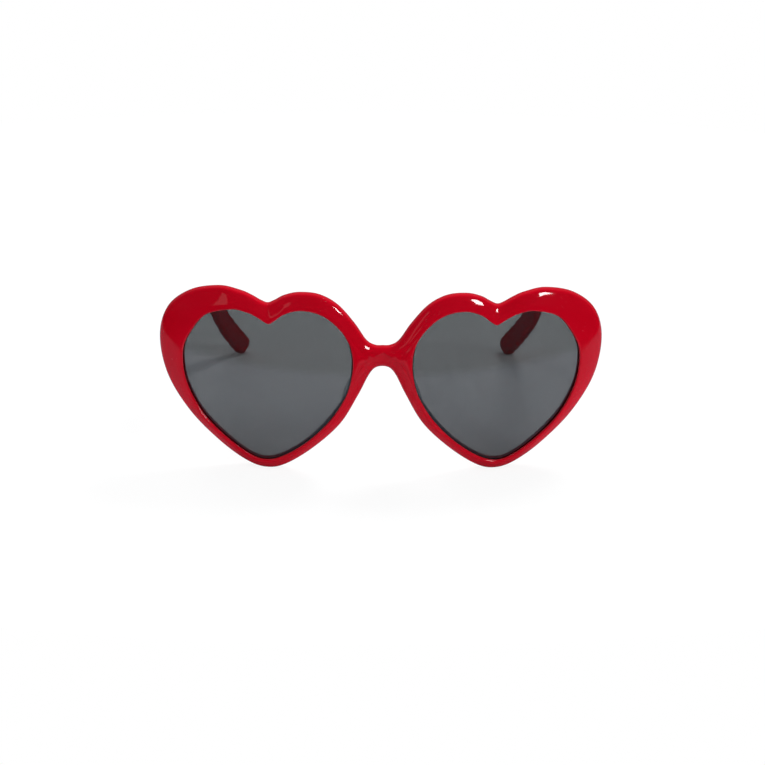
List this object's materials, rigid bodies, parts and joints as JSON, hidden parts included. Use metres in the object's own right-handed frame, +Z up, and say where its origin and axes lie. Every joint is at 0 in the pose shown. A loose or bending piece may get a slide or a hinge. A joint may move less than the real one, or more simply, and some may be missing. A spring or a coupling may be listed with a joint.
{
  "type": "heart shaped sunglasses",
  "caption": "Sunglasses with two heart shaped tinted lenses in a glossy one-piece front, clear nose pads and hooked arms that fold on screwed metal hinges.",
  "frame": {"origin": "on the surface that the open sunglasses stand on, under the middle of the whole between the front and the temple tips", "axes": "+X to the wearer's left, +Y back towards the ears, +Z up; the front faces -Y"},
  "size_m": [0.146, 0.1371, 0.0606],
  "materials": {
    "red_plastic": "polished moulded plastic",
    "lens": "polished grey tinted plastic",
    "pad": "clear soft plastic",
    "hinge_metal": "satin nickel plated",
    "screw_metal": "polished"
  },
  "bodies": {
    "front": {"front_frame": "red_plastic", "lens_left": "lens", "lens_right": "lens", "nose_pad_left": "pad", "nose_pad_right": "pad", "front_hinge_left": "hinge_metal", "front_hinge_right": "hinge_metal", "hinge_screw_left": "screw_metal", "hinge_screw_right": "screw_metal"},
    "left_arm": {"temple_left": "red_plastic", "temple_hinge_left": "hinge_metal"},
    "right_arm": {"temple_right": "red_plastic", "temple_hinge_right": "hinge_metal"}
  },
  "joints": [
    {"name": "left_temple_fold", "type": "hinge", "parent": "front", "child": "left_arm", "pos_m": [0.06072, -0.04835, 0.05139], "axis": [0, 0, 1], "range_deg": [0, 86]},
    {"name": "right_temple_fold", "type": "hinge", "parent": "front", "child": "right_arm", "pos_m": [-0.06072, -0.04835, 0.05139], "axis": [0, 0, -1], "range_deg": [0, 74]}
  ]
}
